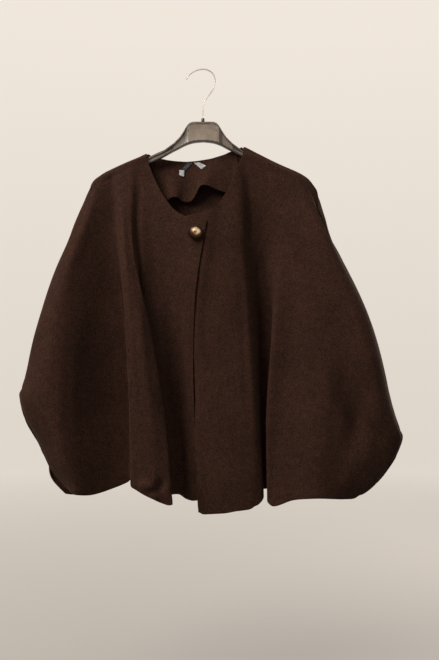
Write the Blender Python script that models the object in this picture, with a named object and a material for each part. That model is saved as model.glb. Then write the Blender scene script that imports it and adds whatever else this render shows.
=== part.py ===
"""A collarless, one-button wool poncho hanging on a moulded coat hanger.

Units in the tables are millimetres in the garment's own terms: across (to the
right as seen from the front), drop (down from the point where the hook hangs)
and out (toward whoever looks at the front).  The scene is in metres with the
hook's resting point at the origin, +Z up and the front facing -Y.
"""
import math
from collections import namedtuple

import bmesh
import bpy
import numpy as np
from mathutils import Vector
from mathutils.bvhtree import BVHTree

for leftover in list(bpy.data.objects):
    bpy.data.objects.remove(leftover, do_unlink=True)

# ---------------------------------------------------------------- sizes
MM = 0.001
CLOTH = 2.5              # felted wool, thickness of the wall
SEAM_GAP = 0.4           # each panel stops this far short of its seam
LAYER_GAP = 1.0          # between the facing and the back it lies on
ROWS_FRONT = 22          # grid rows from the top of a panel to its hem
PER_FOLD = 2             # grid columns between two fold lines
SEAM_LEAN = 50.0         # degrees, how far the shoulder seam faces forward
CUFF_GAPE = 10.0         # half the width of the open arm slit
CUFF_RUN = 70.0          # length over which the slit opens
CUFF_LEAD = 20.0         # it starts to open this far above the widest point
FRONT_CREASE = 0.12      # part of its height over which a front's crease at
BACK_CREASE = 0.08       # the neck point fades, and the same on the back
ROLL_BACK = 11.0         # how far the back lies behind the hanger's middle
ROLL_DROP = 8.0          # and how far below the top of the shoulder roll
NECK_FALLS = (4.0, 12.0)  # the back neck's first two places below its edge
NECK_REACH = 130.0       # drop over which it takes up the folds below

# Heights at which a fold's row gives its place, as parts of its length.
STATIONS = (0.0, 0.25, 0.5, 0.75, 1.0)

# A fold's path: where it starts, how low it ends, its place across and how
# far it stands out at the five stations.  A drop of None starts on the seam.
Fold = namedtuple("Fold", "name top hem across out")

# A fold beside the side outline: it starts on the seam at `start` and then
# keeps the given distances in from the outline at the last four stations.
SideFold = namedtuple("SideFold", "name start hem inset out")

# Shoulder seam from the neck to where the side begins; `strip` is the width
# of back cloth that rolls over the hanger and shows in front of it.
Shoulder = namedtuple("Shoulder", "across drop out strip")

# Side outline, with the seam's distance in from it and how far out it lies.
Side = namedtuple("Side", "drop across seam_inset seam_out")

# ------------------------------------------------- seams and side outlines
SHOULDER_RIGHT = (
    Shoulder(-112, 177, 11.5, 9.5),
    Shoulder(-131, 182, 12, 6),
    Shoulder(-148, 188.5, 12, 5.5),
    Shoulder(-165, 197, 12, 6),
    Shoulder(-181, 205, 12, 7),
    Shoulder(-205, 221, 10.5, 8.5),
    Shoulder(-215, 229, 9, 7.5),
    Shoulder(-223, 241, 7, 5),
)
SHOULDER_LEFT = (
    Shoulder(80, 168, 12.5, 14.5),
    Shoulder(106, 178, 14, 11.5),
    Shoulder(133, 190, 14, 10),
    Shoulder(159, 201.5, 14, 9.5),
    Shoulder(179, 211, 14, 9.5),
    Shoulder(194, 218.5, 13.5, 11),
    Shoulder(204.5, 229, 11.5, 12),
    Shoulder(213, 242, 9.5, 13),
    Shoulder(226, 270, 8, 12.5),
)
SIDE_RIGHT = (
    Side(212, -208, 7, 10),
    Side(223, -220, 5.5, 9),
    Side(241, -227, 4, 7),
    Side(262, -238, 2, 3),
    Side(300, -256, 2, -3),
    Side(340, -270, 2, -5),
    Side(400, -296, 3, -5),
    Side(460, -318, 3, -5),
    Side(540, -342, 3, -5),
    Side(620, -359, 2, -3),
    Side(656, -367.5, 1, -1),
    Side(675, -364.5, 1, 0),
    Side(700, -353.5, 1, 0),
    Side(740, -331.5, 1, 0),
    Side(780, -312.5, 1, 0),
    Side(798, -304, 0, 0),
    Side(822, -282, 0, 0),
    Side(836, -271, 0, 0),
)
BACK_SIDE_RIGHT = SIDE_RIGHT[:-3] + (
    Side(798, -306, 0, 0),
    Side(815, -306.5, 0, 0),
    Side(832, -297, 0, 0),
    Side(846, -279, 0, 0),
)
SIDE_LEFT = (
    Side(212, 207, 12, 10),
    Side(223, 218, 13, 10),
    Side(242, 227, 13, 9),
    Side(270, 237, 11, 8),
    Side(294, 240, 3.5, 4),
    Side(314, 246, 1, 0),
    Side(340, 260, 2, -4),
    Side(420, 300, 3, -5),
    Side(500, 336, 3, -5),
    Side(580, 360, 3, -5),
    Side(660, 378, 2, -3),
    Side(720, 394.5, 1, -1),
    Side(740, 399.5, 1, 0),
    Side(752, 397, 1, 0),
    Side(780, 378, 1, 0),
    Side(816, 352.5, 1, 0),
    Side(834, 333, 0, 0),
    Side(848, 315, 0, 0),
    Side(857, 300, 0, 0),
)

# ------------------------------------------------------------- the folds
# The wearer's right front, from its free edge to the side.
FRONT_RIGHT_FOLDS = (
    Fold("edge", 304.5, 853, (8, -13.5, -19, -15.5, -7.5), (47, 46.5, 36, 40, 46)),
    Fold("edge roll", 303.5, 854.5, (-7, -24.5, -31.5, -27, -20), (46.5, 43.5, 32.5, 36, 42)),
    Fold("edge hollow", 298.5, 851, (-30, -40, -45, -43, -36.5), (42, 37, 21, 20, 26)),
    Fold("panel", 283, 845, (-56.5, -59, -62, -55, -44.5), (34, 32, 24, 21, 26)),
    Fold("panel side", 246.5, 843, (-82.5, -80, -75.5, -61.5, -52.5), (23, 30, 31, 28, 31)),
    Fold("shaded side", 211, 843, (-99.5, -99.5, -89.5, -70.5, -61.5), (16, 27, 36, 36, 38)),
    Fold("neck point", None, 845.5, (-112, -116, -105.5, -85.5, -74), (10, 25, 39, 44, 46)),
    Fold("tuck", None, 849, (-127, -130, -117.5, -99.5, -87), (11, 23, 36, 44, 48)),
    Fold("ridge edge", None, 855.5, (-139, -136.5, -100.5, -71.5, -55.5), (11, 42, 66, 83, 94)),
    Fold("ridge crown", None, 844, (-150, -147.5, -115.5, -94.5, -82.5), (11, 48, 77, 95, 104)),
    Fold("ridge face", None, 827.5, (-162, -159, -142, -128, -118), (11, 51, 78, 95, 102)),
    Fold("ridge brow", None, 815.5, (-172, -169.5, -158.5, -150, -143), (11, 45, 70, 86, 94)),
    Fold("ridge foot", None, 815, (-181, -177, -163.5, -154.5, -148), (11, 4, -9, -14, -8)),
    Fold("wing hollow", None, 827.5, (-190, -188, -174, -166, -160), (11, 2, -14, -20, -14)),
    Fold("wing face", None, 844.5, (-198, -226, -235, -236, -214), (10, 21, 27, 27, 25)),
    Fold("wing crown", None, 841, (-206, -252, -279, -288, -247), (10, 34, 55, 61, 48)),
    SideFold("wing brow", -213, 839.5, (8, 13, 13, 9), (9, 15, 24, 28, 22)),
    SideFold("wing turn", -219, 837, (1.5, 3, 3.5, 3.5), (8, 2, 2, 9, 14)),
)

# The wearer's left front, from its free edge to the side.
FRONT_LEFT_FOLDS = (
    Fold("edge", 296, 880.5, (-36, -25.5, -17, -14, -7), (34, 31, 29, 35, 41)),
    Fold("edge roll", 292, 879.5, (-15, -11.5, -5.5, -1.5, 6.5), (37, 36, 34, 39, 45)),
    Fold("panel", 286, 878, (9, 10, 12.5, 16.5, 26), (38.5, 39.5, 37, 41, 48)),
    Fold("panel middle", 276.5, 876.5, (26, 30, 33, 36, 45.5), (38.5, 42, 38.5, 42, 49)),
    Fold("panel rise", 256, 873, (42, 50, 54.5, 57.5, 65.5), (34.5, 43, 39, 42, 48)),
    Fold("panel side", 231, 871, (55, 67, 73.5, 76.5, 85), (27, 40, 38, 41, 46)),
    Fold("fold side", 201, 867.5, (67, 80, 87.5, 93, 101.5), (18, 33, 34, 38, 43)),
    Fold("neck point", None, 851, (80, 89.5, 102, 110.5, 120), (9, 23, 23, 24, 28)),
    Fold("slot", None, 840.5, (92, 105, 116, 118, 121), (10, 12, -6, -14, -12)),
    Fold("slot wall", None, 839.5, (104, 122, 139.5, 132, 135), (11, 7, -8, -10, -8)),
    Fold("wing edge", None, 856.5, (117, 149, 137, 125, 126), (11, 11, 28, 32, 38)),
    Fold("wing crown", None, 864, (133, 175.5, 169.5, 153, 139), (11, 20, 33, 40, 46)),
    Fold("wing face", None, 850, (151, 203, 207.5, 193.5, 173.5), (11, 28, 43, 53, 60)),
    Fold("wing slope", None, 844, (169, 227.5, 247.5, 238.5, 218.5), (11, 37, 51, 65, 72)),
    Fold("wing strip", None, 845.5, (186, 249, 283, 298, 248), (11, 41, 55, 52, 66)),
    Fold("wing brow", None, 848, (200, 265, 309, 340, 269), (11, 37, 60, 58, 56)),
    SideFold("side brow", 209, 851, (9, 14, 14, 9), (10, 24, 42, 42, 36)),
    SideFold("side turn", 217, 855, (2, 4, 4.5, 3), (9, 3, 4, 10, 15)),
)

# A hollow pressed into a panel: its path, how deep and how wide it is.
Hollow = namedtuple("Hollow", "across drop depth width")
LEFT_WING_HOLLOW = (
    Hollow(246, 470, 0, 20),
    Hollow(258, 560, 4, 22),
    Hollow(280, 655, 9, 24),
    Hollow(306, 702, 13, 24),
    Hollow(338, 735, 15, 24),
    Hollow(366, 775, 15, 26),
)

# The back, from the wearer's right side to the left, as seen from the front.
# It starts on the seam or the neckline and gives the last four stations.
BackFold = namedtuple("BackFold", "name start hem across out")
NeckPoint = namedtuple("NeckPoint", "across drop out")
BACK_FOLDS = (
    BackFold("right wing", -206, 853, (-250, -278, -290, -252), (-24, -30, -30, -24)),
    BackFold("right wing hollow", -190, 846, (-219, -232, -238, -222), (-20, -24, -25, -22)),
    BackFold("right fold", -172, 834, (-184, -188, -188, -186), (-30, -40, -45, -45)),
    BackFold("right valley", -150, 824, (-148, -146, -144, -142), (-24, -29, -31, -32)),
    BackFold("right shoulder blade", -131, 822, (-119, -112, -108, -106), (-28, -38, -43, -44)),
    BackFold("neck point right", -112, 826, (-92, -82, -78, -76), (-26, -34, -36, -37)),
    BackFold("neck run right", NeckPoint(-109.5, 168, -2), 829, (-76, -63, -58, -56), (-24, -30, -31, -31)),
    BackFold("neck side right", NeckPoint(-103, 170.5, -14), 832, (-60, -45, -38, -36), (-24, -30, -32, -32)),
    BackFold("neck right", NeckPoint(-80, 175, -19), 835, (-44, -28, -20, -18), (-26, -34, -38, -39)),
    BackFold("neck middle", NeckPoint(-39, 179, -23), 838, (-20, -8, -2, 0), (-27, -37, -43, -45)),
    BackFold("neck left", NeckPoint(-4, 176.5, -22), 840, (8, 14, 18, 20), (-26, -34, -38, -39)),
    BackFold("neck rise", NeckPoint(28, 170, -20), 841, (34, 38, 41, 42), (-24, -29, -31, -31)),
    BackFold("neck side left", NeckPoint(64, 158, -17), 842, (56, 60, 63, 64), (-23, -29, -31, -31)),
    BackFold("neck run left", NeckPoint(78, 154, -2), 842, (72, 78, 82, 84), (-24, -31, -34, -35)),
    BackFold("neck point left", 80, 841, (88, 97, 102, 104), (-26, -35, -39, -40)),
    BackFold("left shoulder blade", 104, 839, (119, 128, 133, 135), (-29, -39, -44, -45)),
    BackFold("left valley", 133, 840, (152, 163, 168, 168), (-24, -29, -31, -32)),
    BackFold("left fold", 159, 844, (186, 201, 208, 205), (-30, -40, -45, -44)),
    BackFold("left wing hollow", 186, 850, (222, 250, 262, 240), (-22, -26, -27, -25)),
    BackFold("left wing", 200, 856, (256, 296, 318, 268), (-24, -30, -31, -26)),
)
BACK_SIDE_FOLDS = (
    SideFold("right turn", -213, 851, (5, 6, 6, 3), (0, -17, -20, -22, -18)),
    SideFold("right rim", -219, 848, (0, 0, 0, 0), (0, -9, -9, -15, -13)),
    SideFold("left turn", 209, 860, (5, 6, 6, 3), (0, -17, -20, -22, -18)),
    SideFold("left rim", 217, 859, (0, 0, 0, 0), (0, -9, -9, -15, -13)),
)
BACK_HEM_RIGHT = 846
BACK_HEM_LEFT = 858

# ------------------------------------------- hanger, hook and neck pieces
# Half of the moulded hanger: its upper and lower edge, half its depth over
# the rims and half the depth of the web between them.
HangerRow = namedtuple("HangerRow", "across top bottom rim web")
HANGER = (
    HangerRow(0, 104, 144, 6, 5.4),
    HangerRow(12, 104, 145, 6, 5.4),
    HangerRow(21, 104.3, 146.3, 6, 5.4),
    HangerRow(27, 106.5, 148, 6, 5.4),
    HangerRow(31, 110.5, 149.5, 6, 5.4),
    HangerRow(34.5, 115.5, 151, 5.8, 4),
    HangerRow(37.5, 121, 152.3, 5.5, 2.5),
    HangerRow(47, 135, 157.5, 5.2, 2.5),
    HangerRow(59, 147, 163.5, 5, 2.5),
    HangerRow(77, 160, 173.5, 5, 2.5),
    HangerRow(92, 166.5, 181, 5, 2.5),
    HangerRow(107, 173.5, 187.5, 5, 2.5),
    HangerRow(121, 179.5, 193.5, 5, 2.5),
    HangerRow(135, 185.5, 199.5, 5, 2.5),
    HangerRow(163, 198.5, 212.5, 5, 2.5),
    HangerRow(187, 210, 224, 5, 2.5),
    HangerRow(200, 218, 230.5, 4.6, 2.5),
    HangerRow(206, 223, 232, 4, 2.5),
)
RIM_ROUND = 3.0          # chamfer of the upper rim, out from the edge
RIM_TOP = (2.6, 4.4, 5.6)  # drops of the upper rim's three corners
RIM_LOW = (4.2, 3.0)     # heights of the lower rim's two corners
COLLAR_RADIUS = 3.5
COLLAR_TOP = 97.3
COLLAR_FOOT = 103.7

# The wire hook's middle line, from its tip over the crown to the collar.
WirePoint = namedtuple("WirePoint", "across drop")
WIRE_RADIUS = 1.4
WIRE_SIDES = 12
HOOK = (
    WirePoint(-33, 19),
    WirePoint(-27, 9.5),
    WirePoint(-17, 2.5),
    WirePoint(-6, -0.9),
    WirePoint(0, -1.4),
    WirePoint(7, -0.6),
    WirePoint(15, 3.2),
    WirePoint(21, 10),
    WirePoint(24.5, 20),
    WirePoint(24, 30),
    WirePoint(19, 40.5),
    WirePoint(11, 51.5),
    WirePoint(4, 62),
    WirePoint(0.8, 74),
    WirePoint(0, 86),
    WirePoint(0, 97),
)

# The button's profile, from its back edge to the middle of its dome.
Ring = namedtuple("Ring", "radius height")
BUTTON_ACROSS = -14
BUTTON_DROP = 330
BUTTON_SIDES = 32
BUTTON = (
    Ring(9, 0),
    Ring(12.5, 1.2),
    Ring(14, 3.2),
    Ring(13.6, 5.2),
    Ring(12, 6.6),
    Ring(10.6, 6.2),
    Ring(9.5, 6.6),
    Ring(7, 8.2),
    Ring(3.5, 9.2),
    Ring(1, 9.5),
)
SHANK_RADIUS = 3.0
SHANK_FOOT = 0.3
SHANK_TOP = 3.0
BUTTON_BACK = 3.3
RAY_START = 500.0        # well in front of the garment, to look for its surface

# The facing inside the back neck: its lower edge and how far that edge
# stands forward of the back.
FacingEdge = namedtuple("FacingEdge", "across drop forward")
FACING = 1.6
FACING_TOP = (-97, 68)   # ends of its upper edge along the neckline
FACING_BELOW_NECK = 2.0
FACING_ROWS = 11
FACING_CURL = 1.5        # power by which it comes forward toward that edge
FACING_EDGE = (
    FacingEdge(-112, 283, 4),
    FacingEdge(-99, 277, 7),
    FacingEdge(-87, 270, 10),
    FacingEdge(-73, 262, 17),
    FacingEdge(-63, 255, 20),
    FacingEdge(-51, 255, 17),
    FacingEdge(-41, 262, 10),
    FacingEdge(-27, 262, 8),
    FacingEdge(-19, 255, 12),
    FacingEdge(-12, 243, 19),
    FacingEdge(-6, 233, 23),
    FacingEdge(2, 230, 24),
    FacingEdge(14, 233, 20),
    FacingEdge(28, 239, 14),
    FacingEdge(42, 243, 11),
    FacingEdge(58, 249, 8),
    FacingEdge(78, 254, 5),
)

# Bare ribbons sewn at the centre back: their corners as (across, drop) and
# how far they lie in front of the facing.
Ribbon = namedtuple("Ribbon", "name top_left top_right low_right low_left lift colour")
RIBBON = 0.8
RIBBON_STEPS = 5
RIBBONS = (
    Ribbon("neck_label", (-31, 182.5), (-21, 182), (-36, 199), (-42, 194.5), 0.6, "dark"),
    Ribbon("size_tab", (-48, 197.5), (-38, 198), (-38.5, 211), (-47.5, 208.5), 2.0, "white"),
    Ribbon("care_label", (-19, 182.5), (-8, 181.8), (6, 189), (-4, 195.8), 0.6, "white"),
)


# ------------------------------------------------------- curve helpers
def hermite(knots, values, at):
    """A smooth curve through values at uneven knots, one column each."""
    knots = np.asarray(knots, float)
    values = np.asarray(values, float)
    slopes = np.gradient(values, knots, axis=0)
    at = np.clip(at, knots[0], knots[-1])
    span = np.clip(np.searchsorted(knots, at, side="right") - 1, 0, len(knots) - 2)
    width = knots[span + 1] - knots[span]
    part = (at - knots[span]) / width
    if values.ndim > 1:
        width = width[..., None]
        part = part[..., None]
    start = (1 + 2 * part) * (1 - part) ** 2 * values[span]
    end = part ** 2 * (3 - 2 * part) * values[span + 1]
    leave = part * (1 - part) ** 2 * width * slopes[span]
    arrive = part ** 2 * (part - 1) * width * slopes[span + 1]
    return start + end + leave + arrive


def along(points, per_span):
    """Smooth points through a list, with per_span steps in each span."""
    points = np.asarray(points, float)
    steps = np.linalg.norm(np.diff(points, axis=0), axis=1)
    knots = np.concatenate([[0.0], np.cumsum(np.sqrt(np.maximum(steps, 1e-6)))])
    at = [knots[0]]
    for low, high in zip(knots[:-1], knots[1:]):
        at += [low + (high - low) * step / per_span for step in range(1, per_span + 1)]
    return hermite(knots, points, np.array(at))


def ease(value):
    value = np.clip(value, 0.0, 1.0)
    return value * value * (3 - 2 * value)


# ---------------------------------------------- reading the seam tables
def shoulder_at(shoulder, across):
    """Drop, out and strip width of the shoulder seam at a place across."""
    table = np.array(sorted(shoulder, key=lambda point: point.across), float)
    return hermite(table[:, 0], table[:, 1:], np.array(across, float))


def side_at(side, drop):
    """Outline, seam inset and seam out at a drop."""
    table = np.array(side, float)
    return hermite(table[:, 0], table[:, 1:], np.array(drop, float))


def wing_sign(side):
    return 1.0 if side[0].across > 0 else -1.0


def seam_line(side, shoulder, hem, heights, cuff_sign):
    """The side seam and, below the widest point, one lip of the arm slit."""
    top = shoulder[-1].drop
    drop = top + (hem - top) * heights
    table = side_at(side, drop)
    across = table[:, 0] - wing_sign(side) * table[:, 1]
    widest = max(side, key=lambda point: abs(point.across)).drop
    gape = SEAM_GAP + CUFF_GAPE * ease((drop - widest + CUFF_LEAD) / CUFF_RUN)
    return np.stack([across, table[:, 2] + cuff_sign * gape, drop], axis=1)


def fold_line(fold, shoulder, side, heights):
    """Points (across, out, drop) along one fold of a front panel."""
    if isinstance(fold, SideFold):
        top = float(shoulder_at(shoulder, fold.start)[0])
        drop = top + (fold.hem - top) * heights
        outline = side_at(side, drop)[:, 0]
        inset = [abs(outline[0] - fold.start), *fold.inset]
        across = outline - wing_sign(side) * hermite(STATIONS, inset, heights)
        return np.stack([across, hermite(STATIONS, fold.out, heights), drop], axis=1)
    top = fold.top
    out = list(fold.out)
    if top is None:
        top, out[0] = shoulder_at(shoulder, fold.across[0])[:2]
    drop = top + (fold.hem - top) * heights
    return np.stack([hermite(STATIONS, fold.across, heights), hermite(STATIONS, out, heights), drop], axis=1)


# ------------------------------------------------------ walls of cloth
def to_scene(points):
    """From (across, out, drop) in millimetres to scene metres."""
    return np.asarray(points, float) * np.array([MM, -MM, -MM])


def grid_normals(grid):
    """Unit normals of a grid of scene points, rows by columns."""
    down = np.gradient(grid, axis=0)
    across = np.gradient(grid, axis=1)
    normal = np.cross(down, across)
    return normal / np.maximum(np.linalg.norm(normal, axis=2, keepdims=True), 1e-12)


def shorten(grid, row=None, column=None, gap=SEAM_GAP * MM):
    """Pull one edge of a grid back toward its neighbour, to clear the seam."""
    if row is not None:
        inner = 1 if row == 0 else -2
        step = grid[inner] - grid[row]
        grid[row] += gap * step / np.linalg.norm(step, axis=1, keepdims=True)
    if column is not None:
        inner = 1 if column == 0 else -2
        step = grid[:, inner] - grid[:, column]
        grid[:, column] += gap * step / np.linalg.norm(step, axis=1, keepdims=True)


def wall_mesh(name, outer, normals, thickness):
    """A closed wall: the outer grid, its offset inner grid and the rims."""
    inner = outer - normals * thickness
    rows, columns = outer.shape[:2]
    mesh = bpy.data.meshes.new(name)
    shape = bmesh.new()
    front = [[shape.verts.new(point) for point in row] for row in outer]
    back = [[shape.verts.new(point) for point in row] for row in inner]
    for r in range(rows - 1):
        for c in range(columns - 1):
            shape.faces.new((front[r][c], front[r + 1][c], front[r + 1][c + 1], front[r][c + 1]))
            shape.faces.new((back[r][c], back[r][c + 1], back[r + 1][c + 1], back[r + 1][c]))
    for r in range(rows - 1):
        shape.faces.new((front[r][0], back[r][0], back[r + 1][0], front[r + 1][0]))
        shape.faces.new((front[r][-1], front[r + 1][-1], back[r + 1][-1], back[r][-1]))
    for c in range(columns - 1):
        shape.faces.new((front[0][c], front[0][c + 1], back[0][c + 1], back[0][c]))
        shape.faces.new((front[-1][c], back[-1][c], back[-1][c + 1], front[-1][c + 1]))
    bmesh.ops.recalc_face_normals(shape, faces=shape.faces)
    bmesh.ops.triangulate(shape, faces=shape.faces)
    shape.to_mesh(mesh)
    shape.free()
    mesh.shade_smooth()
    return mesh


def material(name, colour, roughness, metallic=0.0):
    surface = bpy.data.materials.new(name)
    surface.use_nodes = True
    shader = surface.node_tree.nodes["Principled BSDF"]
    shader.inputs["Base Color"].default_value = (*colour, 1.0)
    shader.inputs["Roughness"].default_value = roughness
    shader.inputs["Metallic"].default_value = metallic
    return surface


def add_object(name, data, surface):
    piece = bpy.data.objects.new(name, data)
    bpy.context.scene.collection.objects.link(piece)
    data.materials.append(surface)
    return piece


WOOL = material("felted wool", (0.048, 0.024, 0.014), 0.95)
PLASTIC = material("hanger plastic", (0.2, 0.155, 0.12), 0.3)
STEEL = material("bright wire", (0.75, 0.75, 0.76), 0.2, 1.0)
GILT = material("gilt metal", (0.72, 0.52, 0.26), 0.25, 1.0)
THREAD = material("dark thread", (0.03, 0.018, 0.012), 0.8)
RIBBON_CLOTH = {
    "dark": material("dark ribbon", (0.02, 0.022, 0.035), 0.5),
    "white": material("white ribbon", (0.75, 0.75, 0.75), 0.6),
}


def seam_normals(points, outs, sign):
    """Shared wall direction along a seam, from its own line and its lean.

    Both panels use it, so their cut faces lie flat against each other.
    """
    run = np.gradient(points, axis=0)
    run[:, 1] = 0.0
    run /= np.linalg.norm(run, axis=1, keepdims=True)
    outward = np.stack([-run[:, 2], np.zeros(len(run)), run[:, 0]], axis=1) * sign
    lean = np.radians(SEAM_LEAN) * np.clip((outs + 4.0) / 14.0, 0.0, 1.0)
    forward = np.array([0.0, -1.0, 0.0])
    return outward * np.cos(lean)[:, None] + forward * np.sin(lean)[:, None]


# ---------------------------------------------------------- front panels
def row_heights(count, widest):
    """Even rows, with the nearest one moved to the side's widest point."""
    heights = np.linspace(0.0, 1.0, count)
    heights[np.argmin(abs(heights - widest))] = widest
    return heights


def press(grid, hollow):
    """Press a hollow into a grid of (across, out, drop) points."""
    path = along(hollow, 8)
    for row in grid:
        apart = np.hypot(row[:, None, 0] - path[:, 0], row[:, None, 2] - path[:, 1])
        nearest = path[np.argmin(apart, axis=1)]
        row[:, 1] -= nearest[:, 2] * np.exp(-(apart.min(axis=1) / nearest[:, 3]) ** 2)


def front_grid(folds, shoulder, side):
    """Outer points of a front, rows by columns from free edge to side."""
    top, low = shoulder[-1].drop, side[-1].drop
    widest = max(side, key=lambda point: abs(point.across)).drop
    heights = row_heights(ROWS_FRONT, (widest - top) / (low - top))
    lines = [fold_line(fold, shoulder, side, heights) for fold in folds]
    lines.append(seam_line(side, shoulder, side[-1].drop, heights, 1.0))
    lines = np.array(lines)
    corner = next(place for place, fold in enumerate(folds) if fold.name == "neck point")
    grid = []
    for row, height in enumerate(heights):
        whole = along(lines[:, row], PER_FOLD)
        split = np.vstack([
            along(lines[:corner + 1, row], PER_FOLD),
            along(lines[corner:, row], PER_FOLD)[1:],
        ])
        sharp = 1.0 - ease(height / FRONT_CREASE)
        grid.append(whole * (1 - sharp) + split * sharp)
    return np.array(grid), corner * PER_FOLD


def front_panel(name, folds, shoulder, side, hollow=None):
    """One front, with its seam edges cut to lie against the back's."""
    grid, corner = front_grid(folds, shoulder, side)
    if hollow:
        press(grid[:, :-1], hollow)
    sign = wing_sign(side)
    outer = to_scene(grid)
    normals = grid_normals(outer) * sign
    top = slice(corner, None)
    top_normals = seam_normals(outer[0, top], grid[0, top, 1], sign)
    side_normals = seam_normals(outer[:, -1], grid[:, -1, 1], sign)
    top_normals[-1] = side_normals[0] = (top_normals[-1] + side_normals[0]) / 2
    widest = max(side, key=lambda point: abs(point.across)).drop
    sewn = 1.0 - ease((grid[:, -1, 2] - widest + CUFF_LEAD) / CUFF_RUN)[:, None]
    shorten(outer, row=0)
    shorten(outer, column=-1)
    normals[0, top] = top_normals
    normals[:, -1] = side_normals * sewn + normals[:, -1] * (1 - sewn)
    normals /= np.linalg.norm(normals, axis=2, keepdims=True)
    add_object(name, wall_mesh(name, outer, normals, CLOTH * MM), WOOL)


# ------------------------------------------------------------- the back
BACK_KNOTS = (0.0, 0.02, 0.045, 0.25, 0.5, 0.75, 1.0)
BACK_HEIGHTS = np.array([0, .01, .02, .032, .045, .065, .095, .13, .17, .21, .25, .30,
                         .36, .42, .48, .54, .60, .66, .72, .78, .84, .895, .95, 1.0])


def seam_outward(shoulder, across):
    """Direction in the garment's plane, square to the shoulder seam."""
    step = 2.0
    ahead, behind = (float(shoulder_at(shoulder, across + d)[0]) for d in (step, -step))
    length = math.hypot(2 * step, ahead - behind)
    return np.array([(ahead - behind) / length, -2 * step / length])


def back_shoulder_knots(start, shoulder):
    """Seam, top of the roll and the point behind the hanger."""
    drop, out, strip = shoulder_at(shoulder, start)
    outward = seam_outward(shoulder, start)
    crest = np.array([start, drop]) + outward * strip
    behind = np.array([start, drop]) + outward * (strip - ROLL_DROP)
    return [(start, out, drop), (crest[0], 0.0, crest[1]), (behind[0], -ROLL_BACK, behind[1])]


def back_line(fold, shoulder):
    """Points along one fold of the back, from the seam or neckline."""
    if isinstance(fold.start, NeckPoint):
        first = fold.start
        knots = [(first.across, first.out, first.drop)]
        quarter = np.array([fold.across[0], fold.out[0]])
        for fall in NECK_FALLS:
            part = fall / NECK_REACH
            across, out = np.array([first.across, first.out]) * (1 - part) + quarter * part
            knots.append((across, min(out, -ROLL_BACK), first.drop + fall))
    else:
        knots = back_shoulder_knots(fold.start, shoulder)
    top = knots[2][2]
    for height, across, out in zip(BACK_KNOTS[3:], fold.across, fold.out):
        part = (height - BACK_KNOTS[2]) / (1 - BACK_KNOTS[2])
        knots.append((across, out, top + (fold.hem - top) * part))
    return hermite(BACK_KNOTS, knots, BACK_HEIGHTS)


def back_side_line(fold, shoulder, side):
    """A fold of the back that keeps near the side outline."""
    knots = back_shoulder_knots(fold.start, shoulder)[:2]
    rim = fold.inset[0] == 0
    if not rim:
        knots = back_shoulder_knots(fold.start, shoulder)
    top = knots[-1][2]
    heights = (BACK_KNOTS[:2] if rim else BACK_KNOTS[:3]) + BACK_KNOTS[3:]
    base = heights[len(knots) - 1]
    for height, inset, out in zip(BACK_KNOTS[3:], fold.inset, fold.out[1:]):
        part = (height - base) / (1 - base)
        drop = top + (fold.hem - top) * part
        knots.append((float(side_at(side, drop)[0]) - wing_sign(side) * inset, out, drop))
    line = hermite(heights, knots, BACK_HEIGHTS)
    low = BACK_HEIGHTS > 0.25
    outline = side_at(side, line[low, 2])[:, 0]
    inset = hermite(BACK_KNOTS[3:], fold.inset, BACK_HEIGHTS[low])
    line[low, 0] = outline - wing_sign(side) * inset
    if rim:
        high = (BACK_HEIGHTS > BACK_KNOTS[1]) & (BACK_HEIGHTS <= 0.25)
        line[high, 0] = side_at(side, line[high, 2])[:, 0]
    return line


def back_grid():
    """Outer points of the back and the columns of its two neck points."""
    heights = BACK_HEIGHTS
    right_turn, right_rim, left_turn, left_rim = BACK_SIDE_FOLDS
    lines = [seam_line(BACK_SIDE_RIGHT, SHOULDER_RIGHT, BACK_HEM_RIGHT, heights, -1.0),
             back_side_line(right_rim, SHOULDER_RIGHT, BACK_SIDE_RIGHT),
             back_side_line(right_turn, SHOULDER_RIGHT, BACK_SIDE_RIGHT)]
    for fold in BACK_FOLDS:
        right = not isinstance(fold.start, NeckPoint) and fold.start < 0
        lines.append(back_line(fold, SHOULDER_RIGHT if right else SHOULDER_LEFT))
    lines += [back_side_line(left_turn, SHOULDER_LEFT, SIDE_LEFT),
              back_side_line(left_rim, SHOULDER_LEFT, SIDE_LEFT),
              seam_line(SIDE_LEFT, SHOULDER_LEFT, BACK_HEM_LEFT, heights, -1.0)]
    lines = np.array(lines)
    names = ["", "", ""] + [fold.name for fold in BACK_FOLDS]
    corners = [names.index("neck point right"), names.index("neck point left")]
    grid = []
    for row, height in enumerate(heights):
        whole = along(lines[:, row], PER_FOLD)
        pieces = [along(lines[:corners[0] + 1, row], PER_FOLD),
                  along(lines[corners[0]:corners[1] + 1, row], PER_FOLD)[1:],
                  along(lines[corners[1]:, row], PER_FOLD)[1:]]
        sharp = 1.0 - ease(height / BACK_CREASE)
        grid.append(whole * (1 - sharp) + np.vstack(pieces) * sharp)
    return np.array(grid), [corner * PER_FOLD for corner in corners]


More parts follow.
